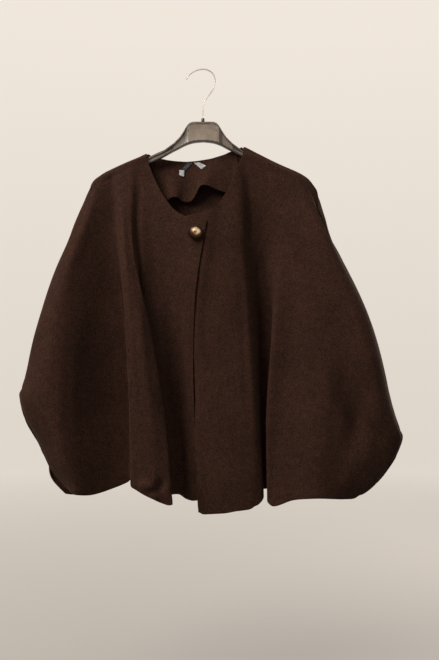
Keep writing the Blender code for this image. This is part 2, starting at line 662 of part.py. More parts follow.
def back_panel():
    """The back, with the strips that roll forward over the hanger."""
    grid, (right, left) = back_grid()
    outer = to_scene(grid)
    normals = -grid_normals(outer)
    runs = ((slice(0, right + 1), -1.0), (slice(left, None), 1.0))
    sides = ((0, BACK_SIDE_RIGHT, -1.0), (-1, SIDE_LEFT, 1.0))
    top_normals = [seam_normals(outer[0, run], grid[0, run, 1], 1.0) for run, sign in runs]
    side_normals = [seam_normals(outer[:, column], grid[:, column, 1], sign) for column, side, sign in sides]
    shorten(outer, row=0)
    shorten(outer, column=0)
    shorten(outer, column=-1)
    for (run, sign), direction in zip(runs, top_normals):
        normals[0, run] = direction
    for (column, side, sign), direction in zip(sides, side_normals):
        widest = max(side, key=lambda point: abs(point.across)).drop
        sewn = 1.0 - ease((grid[:, column, 2] - widest + CUFF_LEAD) / CUFF_RUN)[:, None]
        normals[:, column] = direction * sewn + normals[:, column] * (1 - sewn)
    normals /= np.linalg.norm(normals, axis=2, keepdims=True)
    add_object("back", wall_mesh("back", outer, normals, CLOTH * MM), WOOL)


# ------------------------------------------- hanger, hook and neck pieces
def ring_mesh(name, rings):
    """A closed solid through rings of points, with a flat cap at each end."""
    mesh = bpy.data.meshes.new(name)
    shape = bmesh.new()
    loops = [[shape.verts.new(point) for point in ring] for ring in rings]
    for near, far in zip(loops[:-1], loops[1:]):
        for place in range(len(near)):
            after = (place + 1) % len(near)
            shape.faces.new((near[place], near[after], far[after], far[place]))
    shape.faces.new(loops[0])
    shape.faces.new(loops[-1])
    bmesh.ops.recalc_face_normals(shape, faces=shape.faces)
    bmesh.ops.triangulate(shape, faces=shape.faces)
    shape.to_mesh(mesh)
    shape.free()
    mesh.shade_smooth()
    return mesh


def hanger_ring(row, sign):
    """An I-shaped section of the hanger, as scene points."""
    half = [(row.rim - RIM_ROUND, row.top), (row.rim, row.top + RIM_TOP[0]),
            (row.rim, row.top + RIM_TOP[1]), (row.web, row.top + RIM_TOP[2]),
            (row.web, row.bottom - RIM_LOW[0]), (row.rim, row.bottom - RIM_LOW[1]),
            (row.rim, row.bottom)]
    outline = half + [(-out, drop) for out, drop in reversed(half)]
    return to_scene([(sign * row.across, out, drop) for out, drop in outline])


def hanger():
    """The whole hanger, from its tip on the wearer's right to the left."""
    rings = [hanger_ring(row, -1) for row in reversed(HANGER[1:])]
    rings += [hanger_ring(row, 1) for row in HANGER]
    add_object("hanger_body", ring_mesh("hanger_body", rings), PLASTIC)


def circle(sides):
    """Points of a circle of radius one."""
    turn = np.arange(sides) * 2 * math.pi / sides
    return np.stack([np.cos(turn), np.sin(turn)], axis=1)


def collar():
    rings = [to_scene([(COLLAR_RADIUS * x, COLLAR_RADIUS * y, drop) for x, y in circle(WIRE_SIDES * 2)])
             for drop in (COLLAR_TOP, COLLAR_FOOT)]
    add_object("hanger_collar", ring_mesh("hanger_collar", rings), PLASTIC)


def hook():
    """A round wire swept along its middle line, in the hanger's plane."""
    path = along(HOOK, 3)
    run = np.gradient(path, axis=0)
    run /= np.linalg.norm(run, axis=1, keepdims=True)
    rings = []
    for (across, drop), (along_across, along_drop) in zip(path, run):
        wheel = circle(WIRE_SIDES) * WIRE_RADIUS
        ring = [(across - along_drop * x, y, drop + along_across * x) for x, y in wheel]
        rings.append(to_scene(ring))
    add_object("hanger_hook", ring_mesh("hanger_hook", rings), STEEL)


def surface_of(name):
    """A piece's surface, to lay other pieces on."""
    mesh = bpy.data.objects[name].data
    return BVHTree.FromPolygons([v.co for v in mesh.vertices], [p.vertices for p in mesh.polygons])


def touch(surface, across, drop):
    """First point and normal met by a line from the front."""
    start = Vector((across * MM, -RAY_START * MM, -drop * MM))
    place, normal = surface.ray_cast(start, Vector((0, 1, 0)))[:2]
    return np.array(place), np.array(normal)


def turned(foot, axis, rings, sides):
    """Rings of a turned piece standing on a surface."""
    first = np.cross(axis, (0.0, 0.0, 1.0))
    first /= np.linalg.norm(first)
    second = np.cross(axis, first)
    wheel = circle(sides)
    return [foot + axis * ring.height * MM
            + (wheel[:, :1] * first + wheel[:, 1:] * second) * ring.radius * MM for ring in rings]


def button():
    """The domed button, standing on its shank square to the cloth."""
    foot, axis = touch(surface_of("front_right"), BUTTON_ACROSS, BUTTON_DROP)
    shank = [Ring(SHANK_RADIUS, SHANK_FOOT), Ring(SHANK_RADIUS, SHANK_TOP)]
    raised = [Ring(ring.radius, ring.height + BUTTON_BACK) for ring in BUTTON]
    add_object("button", ring_mesh("button", turned(foot, axis, raised, BUTTON_SIDES)), GILT)
    shank_rings = turned(foot, axis, shank, WIRE_SIDES)
    add_object("button_shank", ring_mesh("button_shank", shank_rings), THREAD)


def facing():
    """A second layer inside the back neck, with a wavy lower edge."""
    surface = surface_of("back")
    neck = np.array([fold.start for fold in BACK_FOLDS if isinstance(fold.start, NeckPoint)])
    edge = along(FACING_EDGE, 2)
    tops = np.linspace(*FACING_TOP, len(edge))
    top_drops = hermite(neck[:, 0], neck[:, 1], tops) + FACING_BELOW_NECK
    grid = []
    for part in np.linspace(0.0, 1.0, FACING_ROWS):
        row = []
        for top, top_drop, (across, drop, forward) in zip(tops, top_drops, edge):
            place, away = touch(surface, top + (across - top) * part, top_drop + (drop - top_drop) * part)
            place += away * (LAYER_GAP + FACING) * MM
            place[1] -= forward * part ** FACING_CURL * MM
            row.append(place)
        grid.append(row)
    grid = np.array(grid)
    name = "back_neck_facing"
    add_object(name, wall_mesh(name, grid, grid_normals(grid), FACING * MM), WOOL)


def ribbon(spec):
    """A small piece of ribbon laid on the facing between four corners."""
    surface = surface_of("back_neck_facing")
    steps = np.linspace(0.0, 1.0, RIBBON_STEPS)
    grid = []
    for fall in steps:
        left = np.array(spec.top_left) * (1 - fall) + np.array(spec.low_left) * fall
        right = np.array(spec.top_right) * (1 - fall) + np.array(spec.low_right) * fall
        row = []
        for part in steps:
            place, _ = touch(surface, *(left * (1 - part) + right * part))
            place[1] -= (spec.lift + RIBBON) * MM
            row.append(place)
        grid.append(row)
    grid = np.array(grid)
    mesh = wall_mesh(spec.name, grid, grid_normals(grid), RIBBON * MM)
    add_object(spec.name, mesh, RIBBON_CLOTH[spec.colour])


front_panel("front_right", FRONT_RIGHT_FOLDS, SHOULDER_RIGHT, SIDE_RIGHT)
front_panel("front_left", FRONT_LEFT_FOLDS, SHOULDER_LEFT, SIDE_LEFT, LEFT_WING_HOLLOW)
back_panel()
hanger()
collar()
hook()
button()
facing()
for spec in RIBBONS:
    ribbon(spec)
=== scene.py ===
from math import cos, pi, radians, sin

import bmesh
import bpy
import numpy as np
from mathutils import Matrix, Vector, noise


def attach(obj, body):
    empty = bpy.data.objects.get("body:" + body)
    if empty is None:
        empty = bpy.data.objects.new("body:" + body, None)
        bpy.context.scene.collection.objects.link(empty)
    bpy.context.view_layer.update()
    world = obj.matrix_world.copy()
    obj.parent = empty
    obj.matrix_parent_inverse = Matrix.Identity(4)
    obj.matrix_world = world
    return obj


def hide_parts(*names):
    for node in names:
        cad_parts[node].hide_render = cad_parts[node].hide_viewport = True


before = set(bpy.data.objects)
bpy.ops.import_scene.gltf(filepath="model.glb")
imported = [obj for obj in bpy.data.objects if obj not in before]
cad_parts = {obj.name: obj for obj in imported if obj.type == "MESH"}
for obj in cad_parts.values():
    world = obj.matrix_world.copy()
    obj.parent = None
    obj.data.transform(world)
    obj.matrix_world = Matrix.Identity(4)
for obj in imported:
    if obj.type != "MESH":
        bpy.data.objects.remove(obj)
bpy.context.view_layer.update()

mm = 0.001
print("frame loaded:", len(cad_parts), "nodes")


# the camera stands at chest height, square to the garment
cameraSettings = {
    "place": (0.033, -1.8, -0.52),
    "tilt": (90, 0, 0),
    "lens": 49.1,
    "sensor": 36,
}
bpy.ops.object.camera_add(location=cameraSettings["place"],
                          rotation=[radians(a) for a in cameraSettings["tilt"]])
camera = bpy.context.object
camera.data.lens = cameraSettings["lens"]
camera.data.sensor_width = cameraSettings["sensor"]
bpy.context.scene.camera = camera
print("camera placed")


def pick(piece):
    bpy.ops.object.select_all(action="DESELECT")
    piece.select_set(True)
    bpy.context.view_layer.objects.active = piece


def useModifier(piece, kind, **values):
    modifier = piece.modifiers.new(kind.lower(), kind)
    for key, value in values.items():
        setattr(modifier, key, value)
    pick(piece)
    bpy.ops.object.modifier_apply(modifier=modifier.name)


def roundEdges(piece, width, angle, smoothAngle):
    useModifier(piece, "BEVEL", width=width, segments=2, limit_method="ANGLE", angle_limit=radians(angle),
                use_clamp_overlap=True)
    pick(piece)
    bpy.ops.object.shade_smooth_by_angle(angle=radians(smoothAngle))


def getPoints(mesh):
    points = np.empty(len(mesh.vertices) * 3)
    mesh.vertices.foreach_get("co", points)
    return points.reshape(-1, 3)


def setPoints(mesh, points):
    mesh.vertices.foreach_set("co", points.ravel())
    mesh.update()


def copyNode(node, name):
    piece = bpy.data.objects.new(name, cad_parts[node].data.copy())
    piece.data.name = name
    piece.data.materials.clear()
    bpy.context.collection.objects.link(piece)
    shape = bmesh.new()
    shape.from_mesh(piece.data)
    bmesh.ops.remove_doubles(shape, verts=shape.verts, dist=0.02 * mm)
    shape.to_mesh(piece.data)
    shape.free()
    return piece


def finishPiece(piece, node, material):
    piece.data.materials.clear()
    piece.data.materials.append(material)
    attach(piece, "root")
    if node:
        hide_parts(node)
    print("made", piece.name, "with", len(piece.data.polygons), "faces")


# materials: a few helpers keep the node setups short
def startMaterial(name, **values):
    material = bpy.data.materials.new(name)
    material.use_nodes = True
    shader = material.node_tree.nodes["Principled BSDF"]
    for key, value in values.items():
        socket = shader.inputs[key]
        socket.default_value = (*value, 1) if isinstance(value, tuple) else value
    return material, material.node_tree, shader


def addNode(tree, kind, inputs=None, **values):
    node = tree.nodes.new(kind)
    for key, value in values.items():
        setattr(node, key, value)
    for key, value in (inputs or {}).items():
        if isinstance(value, bpy.types.NodeSocket):
            tree.links.new(value, node.inputs[key])
        else:
            node.inputs[key].default_value = value
    return node


def addNoise(tree, place, scale, detail=2.0, roughness=0.5):
    node = addNode(tree, "ShaderNodeTexNoise",
                   {"Vector": place, "Scale": scale, "Detail": detail, "Roughness": roughness})
    return node.outputs["Fac"]


def addRange(tree, value, low, high, toLow=0.0, toHigh=1.0):
    node = addNode(tree, "ShaderNodeMapRange",
                   {"Value": value, "From Min": low, "From Max": high,
                    "To Min": toLow, "To Max": toHigh})
    return node.outputs["Result"]


def addMix(tree, factor, first, second, blend="MIX"):
    node = addNode(tree, "ShaderNodeMix", data_type="RGBA", blend_type=blend)
    for index, value in ((0, factor), (6, first), (7, second)):
        if isinstance(value, bpy.types.NodeSocket):
            tree.links.new(value, node.inputs[index])
        else:
            node.inputs[index].default_value = (*value, 1) if isinstance(value, tuple) else value
    return node.outputs[2]


def addBump(tree, shader, layers):
    normal = None
    for height, strength, distance in layers:
        inputs = {"Height": height, "Strength": strength, "Distance": distance}
        if normal:
            inputs["Normal"] = normal
        normal = addNode(tree, "ShaderNodeBump", inputs).outputs["Normal"]
    tree.links.new(normal, shader.inputs["Normal"])


def scaledPlace(tree, scale):
    place = addNode(tree, "ShaderNodeTexCoord").outputs["Object"]
    return addNode(tree, "ShaderNodeMapping", {"Vector": place, "Scale": scale}).outputs["Vector"]


# felted melange wool: dark and light brown fibres, a little red and olive
woolSettings = {
    "dark": (0.0215, 0.0095, 0.0066),
    "light": (0.078, 0.0360, 0.0240),
    "red": (0.080, 0.0270, 0.0180),
    "olive": (0.046, 0.0290, 0.0135),
    "fibre": (0.150, 0.092, 0.064),
    "melangeScale": 460,
    "fibreFineness": 1.6,
    "tintScale": 170,
    "blotchScale": 95,
    "patchScale": 11,
    "grainScale": (420, 420, 70),
    "bump": 0.6,
    "sheen": 0.06,
}


def makeWool(settings):
    material, tree, shader = startMaterial(
        "melange_wool", **{"Roughness": 0.88, "Sheen Weight": settings["sheen"],
                           "Sheen Roughness": 0.45, "Sheen Tint": (0.70, 0.44, 0.32),
                           "Specular IOR Level": 0.04})
    place = scaledPlace(tree, (1, 1, 1))
    grainPlace = scaledPlace(tree, settings["grainScale"])
    melange = addNoise(tree, place, settings["melangeScale"], 3, 0.7)
    grain = addNoise(tree, grainPlace, 1, 2, 0.6)
    tint = addNoise(tree, place, settings["tintScale"], 2, 0.6)
    patch = addNoise(tree, place, settings["patchScale"], 2, 0.5)
    fibres = addNoise(tree, place, settings["melangeScale"] * settings["fibreFineness"], 1, 0.5)
    colour = addMix(tree, addRange(tree, melange, 0.34, 0.66), settings["dark"], settings["light"])
    colour = addMix(tree, addRange(tree, tint, 0.52, 0.72, 0, 0.55), colour, settings["red"])
    colour = addMix(tree, addRange(tree, tint, 0.48, 0.28, 0, 0.5), colour, settings["olive"])
    colour = addMix(tree, addRange(tree, grain, 0.55, 0.75, 0, 0.35), colour, settings["light"])
    colour = addMix(tree, addRange(tree, fibres, 0.68, 0.78, 0, 0.7), colour, settings["fibre"])
    blotch = addNoise(tree, place, settings["blotchScale"], 3, 0.65)
    shade = addRange(tree, blotch, 0.3, 0.7, 0.84, 1.16)
    shade = addNode(tree, "ShaderNodeMath", {0: shade, 1: addRange(tree, patch, 0.3, 0.7, 0.9, 1.1)},
                    operation="MULTIPLY").outputs[0]
    shade = addNode(tree, "ShaderNodeCombineColor", {0: shade, 1: shade, 2: shade}).outputs[0]
    colour = addMix(tree, 1.0, colour, shade, "MULTIPLY")
    tree.links.new(colour, shader.inputs["Base Color"])
    addBump(tree, shader, [(melange, settings["bump"], 0.0009), (grain, 0.35, 0.0007),
                           (patch, 0.25, 0.004)])
    return material


wool = makeWool(woolSettings)
print("wool mixed")


# the cloth: each panel takes the outer face of its CAD wall, is made smooth
# through the same points, gets its creases, its thickness and its rolled edges
clothSettings = {
    "rungSlack": 0.003 * mm,        # an edge this close to the wall's thickness crosses the rim
    "joinAngle": 60,
    "waveHeights": (2.2 * mm, 0.8 * mm),
    "waveScales": (9.0, 34.0),
    "waveStretch": (1.0, 0.4, 0.55),
    "calmAbove": -0.2,              # no waves where the hanger holds the cloth
    "calmRun": 0.14,
    "fadeEnds": 0.04,               # how a crease dies away towards its ends
    "fadePower": 0.8,
    "wallLoss": 0.2 * mm,
    "rimRound": 0.7 * mm,
    "rimAngle": 60,
    "smoothAngle": 58,
}


def outerSheet(piece, wall, side, settings):
    shape = bmesh.new()
    shape.from_mesh(piece.data)
    rungs = [e for e in shape.edges if abs(e.calc_length() - wall) < settings["rungSlack"]]
    rim = {face for edge in rungs for face in edge.link_faces}
    bmesh.ops.delete(shape, geom=list(rim), context="FACES")
    unseen, sheets = set(shape.faces), []
    while unseen:
        waiting, sheet = [unseen.pop()], []
        while waiting:
            face = waiting.pop()
            sheet.append(face)
            for edge in face.edges:
                for other in edge.link_faces:
                    if other in unseen:
                        unseen.remove(other)
                        waiting.append(other)
        sheets.append(sheet)
    for sheet in sheets:
        if side * sum(face.normal.y * face.calc_area() for face in sheet) < 0:
            bmesh.ops.delete(shape, geom=sheet, context="FACES")
    angle = radians(settings["joinAngle"])
    bmesh.ops.join_triangles(shape, faces=shape.faces, angle_face_threshold=angle,
                             angle_shape_threshold=angle)
    shape.to_mesh(piece.data)
    shape.free()


def smoothThrough(piece, levels, passes=4):
    modifier = piece.modifiers.new("smooth", "SUBSURF")
    modifier.levels = modifier.render_levels = levels
    modifier.boundary_smooth = "PRESERVE_CORNERS"
    wanted = getPoints(piece.data)
    corners = wanted.copy()
    for _ in range(passes):
        bpy.context.view_layer.update()
        graph = bpy.context.evaluated_depsgraph_get()
        reached = getPoints(piece.evaluated_get(graph).data)[:len(wanted)]
        corners += wanted - reached
        setPoints(piece.data, corners)
    pick(piece)
    bpy.ops.object.modifier_apply(modifier=modifier.name)


def softWaves(points, settings):
    # one slow movement of the whole garment, the same in every layer
    stretch = settings["waveStretch"]
    for row in points:
        calm = min(max((settings["calmAbove"] - row[2]) / settings["calmRun"], 0), 1)
        for height, scale in zip(settings["waveHeights"], settings["waveScales"]):
            place = Vector([axis * share for axis, share in zip(row, stretch)]) * scale
            row[1] += calm * height * noise.noise(place)


# creases and dents in mm: where they run (across, drop), how far they stand
# out of the cloth (below 0 pressed in), half their width, and how far they
# draw the cloth aside or up
frontCreases = [
    {"name": "seam right", "line": ((-112, 189), (-148, 200.5), (-181, 217), (-205, 231.5), (-216, 239)),
     "out": -1.3, "half": 2.6},
    {"name": "seam left", "line": ((80, 180.5), (133, 204), (179, 225), (204, 240.5), (214, 252)),
     "out": -1.3, "half": 2.6},
    {"name": "dimple", "line": ((160, 764), (176, 770), (193, 769)), "out": -1.3, "half": 5},
    {"name": "dimple lip", "line": ((158, 774), (176, 780), (190, 778)), "out": 0.8, "half": 6},
    {"name": "facing line", "line": ((-110, 307), (-50, 309), (4, 312)), "out": -0.35, "half": 2.5},
    {"name": "facing end", "line": ((-110, 307), (-104, 420), (-96, 560)), "out": -0.3, "half": 3},
    {"name": "shoulder pull", "line": ((-150, 190), (-120, 250), (-104, 330)), "out": -0.9, "half": 8},
    {"name": "right chest", "line": ((-92, 330), (-84, 470), (-80, 640)), "out": 1.1, "half": 9},
    {"name": "right lap", "line": ((-66, 420), (-62, 560), (-56, 720)), "out": -0.9, "half": 7},
    {"name": "ridge top", "line": ((-150, 330), (-132, 520), (-108, 760)), "out": -1.0, "half": 6},
    {"name": "ridge side", "line": ((-122, 470), (-104, 620), (-84, 780)), "out": 1.2, "half": 6},
    {"name": "wing long", "line": ((-262, 430), (-286, 590), (-292, 760)), "out": -1.8, "half": 13},
    {"name": "wing second", "line": ((-236, 470), (-252, 640), (-246, 800)), "out": 1.5, "half": 10},
    {"name": "wing third", "line": ((-296, 520), (-322, 620), (-326, 700)), "out": 1.3, "half": 11},
    {"name": "left panel", "line": ((34, 380), (38, 560), (44, 800)), "out": -0.8, "half": 12},
    {"name": "left panel rise", "line": ((64, 420), (72, 610), (80, 790)), "out": 0.9, "half": 9},
    {"name": "arm pull", "line": ((150, 380), (176, 470), (222, 560)), "out": -1.1, "half": 12},
    {"name": "arm drop", "line": ((196, 470), (206, 620), (196, 790)), "out": 1.4, "half": 14},
    {"name": "elbow", "line": ((250, 560), (280, 650), (322, 716)), "out": -2.2, "half": 15},
    {"name": "elbow lip", "line": ((236, 600), (262, 690), (300, 752)), "out": 1.4, "half": 10},
    {"name": "wing end", "line": ((300, 470), (330, 560), (352, 640)), "out": 1.2, "half": 12},
    {"name": "ridge shoulder", "line": ((-129, 363), (-111, 461), (-88, 560), (-68, 660), (-56, 780)),
     "out": -6.5, "half": 16},
    {"name": "ridge brow", "line": ((-182, 330), (-173, 480), (-168, 600), (-162, 720), (-157, 820)),
     "out": 3.5, "half": 14},
    {"name": "lap hollow", "line": ((-60, 320), (-52, 450), (-50, 560), (-46, 680), (-36, 800)),
     "out": -8.0, "half": 34},
    {"name": "tuck slope", "line": ((-128, 270), (-124, 350), (-120, 430), (-112, 520)),
     "out": 3.0, "half": 8},
    {"name": "chest hollow", "line": ((-104, 270), (-97, 360), (-88, 450), (-74, 540)),
     "out": -6.0, "half": 18},
    {"name": "slot shoulder", "line": ((74, 330), (86, 440), (93, 560), (100, 680), (105, 800)),
     "out": 4.5, "half": 9},
    {"name": "slot lip", "line": ((150, 380), (138, 480), (130, 580), (125, 690), (124, 860)),
     "out": 5.0, "half": 24},
    {"name": "brow shift", "out": 0, "aside": 12.0, "half": 26,
     "line": ((-176, 250), (-172, 365), (-168, 462), (-160, 600), (-154, 720), (-146, 940))},
    {"name": "chest fall", "line": ((-62, 240), (-70, 340), (-72, 440), (-70, 560)), "out": -6.5, "half": 26},
    {"name": "neck fold wide", "line": ((56, 170), (62, 267), (66, 360)), "out": 6.0, "half": 20},
    {"name": "wing shift", "out": 0, "aside": -9.0, "half": 22,
     "line": ((-236, 330), (-252, 400), (-268, 470), (-280, 560), (-286, 640))},
    {"name": "wing brow", "line": ((-258, 310), (-296, 440), (-322, 540), (-338, 650)),
     "out": 4.0, "half": 20},
    {"name": "elbow fill", "line": ((262, 600), (272, 680), (278, 760), (284, 850)), "out": 3.2, "half": 16},
    {"name": "outer rise", "line": ((262, 290), (300, 400), (330, 500), (352, 610)), "out": 6.0, "half": 26},
    {"name": "neck fold", "line": ((68, 200), (76, 262), (82, 340)), "out": 6.0, "half": 14},
    {"name": "neck fold side", "line": ((84, 212), (92, 270), (98, 350)), "out": -4.0, "half": 9},
    {"name": "hem roll right", "line": ((-286, 826), (-250, 834), (-214, 832)), "out": 1.4, "half": 8},
    {"name": "hem roll left", "line": ((146, 842), (220, 838), (300, 846)), "out": 1.2, "half": 8},
]
# where the tall fold meets the hem the cloth curls under in small lumps
frontDents = [
    {"name": "curl lump", "place": (-103, 814), "out": 9.0, "up": 0, "half": (15, 10)},
    {"name": "curl hollow", "place": (-79, 815), "out": -9.0, "up": 0, "half": (9, 13)},
    {"name": "curl lip", "place": (-90, 834), "out": 5.0, "up": 1.5, "half": (11, 7)},
    {"name": "curl corner", "place": (-56, 857), "out": 2.0, "up": 5.0, "half": (6, 7)},
    {"name": "brow corner", "place": (-142, 822), "out": -3.0, "up": 4.0, "half": (5, 9)},
    {"name": "lap notch", "place": (-13, 806), "out": -1.5, "up": 0, "half": (6, 9)},
    {"name": "lap corner", "place": (-8, 876), "out": 0.0, "up": 7.0, "half": (6, 7)},
    {"name": "slot corner", "place": (100, 864), "out": -1.0, "up": 3.5, "half": (6, 7)},
    {"name": "wing corner", "place": (125, 855), "out": -1.0, "up": 3.5, "half": (5, 6)},
]
# both layers of the hem's outer corner are rounded
hemDents = [
    {"name": "hem corner", "place": (307, 853), "out": 0.0, "up": 4.5, "half": (9, 9)},
]
# the lap: near the button the under layer lies close below the upper one,
# towards the hem it comes out in front of it
rightLap = [
    {"name": "lap edge", "line": ((-17, 480), (-20, 560), (-20, 640), (-18, 720)), "out": -1.8, "half": 9},
    {"name": "lap under", "line": ((-18, 680), (-16, 760), (-12, 840), (-8, 930)), "out": -7.0, "half": 16},
]
leftLap = [
    {"name": "lap rise", "out": 6.2, "half": 15,
     "line": ((14, 240), (9, 330), (5, 362), (-3, 405), (-10, 462), (-13, 505), (-13, 545), (-10, 620))},
    {"name": "lap over", "line": ((-12, 680), (-11, 760), (-9, 840), (-6, 930)),
     "out": 5.0, "aside": -2.0, "half": 12},
]
backCreases = [
    {"name": "seam right", "line": ((-112, 189), (-148, 200.5), (-181, 217), (-205, 231.5), (-216, 239)),
     "out": 1.3, "half": 2.6},
    {"name": "seam left", "line": ((80, 180.5), (133, 204), (179, 225), (204, 240.5), (214, 252)),
     "out": 1.3, "half": 2.6},
    {"name": "yoke pull", "line": ((-150, 230), (-90, 300), (-60, 420)), "out": -1.4, "half": 12},
    {"name": "yoke pull left", "line": ((170, 236), (118, 310), (96, 430)), "out": -1.2, "half": 13},
    {"name": "middle", "line": ((10, 300), (16, 520), (6, 760)), "out": 1.3, "half": 15},
    {"name": "long right", "line": ((-120, 420), (-138, 600), (-146, 800)), "out": 1.7, "half": 11},
    {"name": "long left", "line": ((130, 400), (152, 590), (150, 810)), "out": -1.6, "half": 13},
    {"name": "outer right", "line": ((-236, 450), (-276, 600), (-290, 740)), "out": -1.9, "half": 14},
    {"name": "outer left", "line": ((236, 460), (292, 610), (322, 760)), "out": 1.6, "half": 12},
    {"name": "short", "line": ((60, 640), (66, 720), (58, 790)), "out": -1.2, "half": 9},
]


def pressCreases(points, creases, direction, settings):
    # direction is -1 where out of the cloth means towards the camera
    across, drop = points[:, 0] / mm, -points[:, 2] / mm
    for crease in creases:
        line = np.array(crease["line"], dtype=float)
        spans = np.hypot(*(line[1:] - line[:-1]).T)
        reach, near, share = 0.0, np.full(len(points), 1e9), np.zeros(len(points))
        for first, last, span in zip(line[:-1], line[1:], spans):
            along = ((across - first[0]) * (last[0] - first[0])
                     + (drop - first[1]) * (last[1] - first[1])) / span ** 2
            along = np.clip(along, 0, 1)
            far = np.hypot(across - first[0] - along * (last[0] - first[0]),
                           drop - first[1] - along * (last[1] - first[1]))
            closer = far < near
            near = np.where(closer, far, near)
            share = np.where(closer, (reach + along * span) / spans.sum(), share)
            reach += span
        turn = pi * (settings["fadeEnds"] + (1 - 2 * settings["fadeEnds"]) * share)
        fade = np.sin(turn) ** settings["fadePower"] * np.exp(-(near / crease["half"]) ** 2)
        points[:, 1] += direction * crease["out"] * mm * fade
        points[:, 0] += crease.get("aside", 0) * mm * fade


def pressDents(points, dents, direction):
    across, drop = points[:, 0] / mm, -points[:, 2] / mm
    for dent in dents:
        away = ((across - dent["place"][0]) / dent["half"][0]) ** 2
        away += ((drop - dent["place"][1]) / dent["half"][1]) ** 2
        points[:, 1] += direction * dent["out"] * mm * np.exp(-away)
        points[:, 2] += dent["up"] * mm * np.exp(-away)


def makePanel(row, settings):
    piece = copyNode(row["node"], row["name"])
    outerSheet(piece, row["wall"], row["side"], settings)
    smoothThrough(piece, row["levels"])
    points = getPoints(piece.data)
    softWaves(points, settings)
    pressCreases(points, row["creases"], row["side"], settings)
    pressDents(points, row["dents"], row["side"])
    setPoints(piece.data, points)
    if row["keep"] < 1:        # the flattest stretches need fewer faces
        useModifier(piece, "DECIMATE", ratio=row["keep"])
    useModifier(piece, "SOLIDIFY", thickness=row["wall"] - settings["wallLoss"], offset=-1,
                use_even_offset=False)
    roundEdges(piece, settings["rimRound"], settings["rimAngle"], settings["smoothAngle"])
    finishPiece(piece, row["node"], wool)


panelTable = [
    {"node": "front_right", "name": "right_front", "side": -1, "levels": 3, "keep": 0.9, "wall": 2.5 * mm,
     "creases": frontCreases + rightLap, "dents": frontDents, "flat": (0.58, 0.69), "area": 0.286},
    {"node": "front_left", "name": "left_front", "side": -1, "levels": 3, "keep": 0.9, "wall": 2.5 * mm,
     "creases": frontCreases + leftLap, "dents": frontDents + hemDents, "flat": (0.55, 0.72), "area": 0.281},
    {"node": "back", "name": "back_panel", "side": 1, "levels": 2, "keep": 1, "wall": 2.5 * mm,
     "creases": backCreases, "dents": hemDents, "flat": (0.79, 0.73), "area": 0.4475},
    {"node": "back_neck_facing", "name": "neck_facing", "side": -1, "levels": 2, "keep": 1, "wall": 1.6 * mm,
     "creases": [], "dents": [], "flat": (0.19, 0.11), "area": 0.0154},
]
for panelRow in panelTable:
    makePanel(panelRow, clothSettings)


# hanger, hook and collar
hangerSettings = {
    # the light taupe of the block and arm fronts is a painted reflection of the room on dark glossy plastic,
    # mottled at random
    "face": (0.300, 0.232, 0.172),
    "mottledFaceReflection": (0.375, 0.298, 0.230),
    "arm": (0.225, 0.175, 0.132),
    # painted shade: the dark colours below darken the steps beside the block and both rims; the lower rim's
    # dark also colours the pins
    "step": (0.060, 0.044, 0.036),
    "upperRimShade": (0.120, 0.096, 0.078),
    "lowerRimShadeAndPins": (0.028, 0.016, 0.011),
    "stepAcross": (32.0 * mm, 39.5 * mm),
    "pins": ((-29.4 * mm, -122.4 * mm), (26.4 * mm, -122.4 * mm)),
    "pinRadius": 1.3 * mm,
    "rimHeight": 3.6 * mm,
    "rimDepth": 0.93,           # the rims stand out past this share of the depth
    "topFacing": 0.55,
    "footFacing": -0.4,
    "edgeRound": 0.5 * mm,
}


def markRimShade(piece, settings):
    # 1 on the upper rim, -1 on the lower one, 0 on the web between them; faces turned up or down are marked,
    # and the marks carry painted shade
    mesh = piece.data
    points = getPoints(mesh)
    columns = np.round(points[:, 0] / mm)
    stations = np.unique(columns)
    tops = [points[columns == station, 2].max() for station in stations]
    foots = [points[columns == station, 2].min() for station in stations]
    depths = [np.abs(points[columns == station, 1]).max() for station in stations]
    marks = mesh.attributes.new("rim", "FLOAT", "FACE")
    for face in mesh.polygons:
        high = np.interp(face.center.x / mm, stations, tops)
        low = np.interp(face.center.x / mm, stations, foots)
        depth = np.interp(face.center.x / mm, stations, depths)
        deep = abs(face.center.y) > settings["rimDepth"] * depth
        if face.normal.z > settings["topFacing"] or (deep and high - face.center.z < settings["rimHeight"]):
            marks.data[face.index].value = 1
        if face.normal.z < settings["footFacing"] or (deep and face.center.z - low < settings["rimHeight"]):
            marks.data[face.index].value = -1


